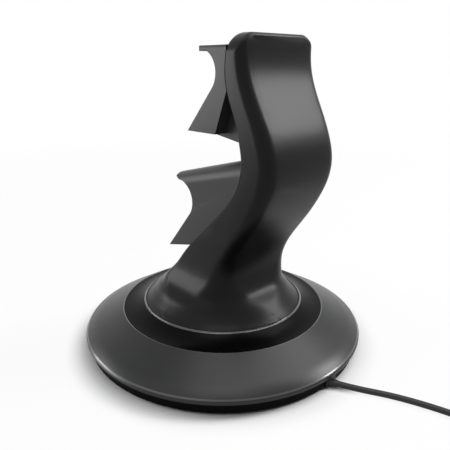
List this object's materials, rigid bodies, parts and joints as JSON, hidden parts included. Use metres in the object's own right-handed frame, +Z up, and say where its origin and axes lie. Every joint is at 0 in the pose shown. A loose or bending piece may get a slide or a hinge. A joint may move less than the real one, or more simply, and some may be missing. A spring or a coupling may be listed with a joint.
{
  "type": "controller charging dock",
  "caption": "Desk charging dock for game controllers: a round weighted base, an S-curved spine and two hollow cradles, each with a plug at its back.",
  "frame": {"origin": "under the middle of the round base, on the surface it stands on", "axes": "+Z up, -Y is the front, where the controllers plug in, and +X is to the right of someone looking along +Y"},
  "size_m": [0.1824, 0.2512, 0.1632],
  "materials": {
    "base_cover_plastic": "satin",
    "channel_gloss": "gloss",
    "tray_plastic": "matte",
    "foot_rubber": "matte",
    "screw_steel": "zinc plated",
    "ballast_steel": "raw",
    "board_green": "solder mask",
    "chip_black": "matte",
    "capacitor_metal": "satin",
    "socket_white": "satin",
    "spine_plastic": "satin",
    "panel_plastic": "fine grain",
    "cradle_plastic": "satin",
    "carrier_plastic": "matte",
    "plug_metal": "nickel plated",
    "plug_insulator": "matte",
    "light_white": "satin",
    "light_clear": "clear",
    "wire_red": "satin",
    "lead_black": "satin",
    "tie_plastic": "matte",
    "grip_plastic": "satin",
    "tongue_white": "satin"
  },
  "bodies": {
    "root": {"base_cover": "base_cover_plastic", "channel_ring": "channel_gloss", "base_tray": "tray_plastic", "rubber_feet": "foot_rubber", "base_screws": "screw_steel", "ballast_ring": "ballast_steel", "main_board": "board_green", "main_board_screws": "screw_steel", "charging_chips": "chip_black", "capacitors": "capacitor_metal", "wire_sockets": "socket_white", "spine_rear_shell": "spine_plastic", "spine_front_panel": "panel_plastic", "spine_screws": "screw_steel", "upper_cradle_shell": "cradle_plastic", "upper_plug_carrier": "carrier_plastic", "upper_charging_plug": "plug_metal", "upper_plug_tongue": "plug_insulator", "upper_plug_board": "board_green", "upper_charge_light": "light_white", "upper_light_pipe": "light_clear", "upper_board_screws": "screw_steel", "upper_cradle_screws": "screw_steel", "lower_cradle_shell": "cradle_plastic", "lower_plug_carrier": "carrier_plastic", "lower_charging_plug": "plug_metal", "lower_plug_tongue": "plug_insulator", "lower_plug_board": "board_green", "lower_charge_light": "light_white", "lower_light_pipe": "light_clear", "lower_board_screws": "screw_steel", "lower_cradle_screws": "screw_steel", "lower_wires": "wire_red", "upper_wires": "wire_red", "strain_relief": "lead_black", "usb_lead": "lead_black", "lead_coil": "lead_black", "coil_tie": "tie_plastic", "lead_tail": "lead_black", "usb_grip": "grip_plastic", "usb_shell": "plug_metal", "usb_tongue": "tongue_white"}
  },
  "joints": []
}
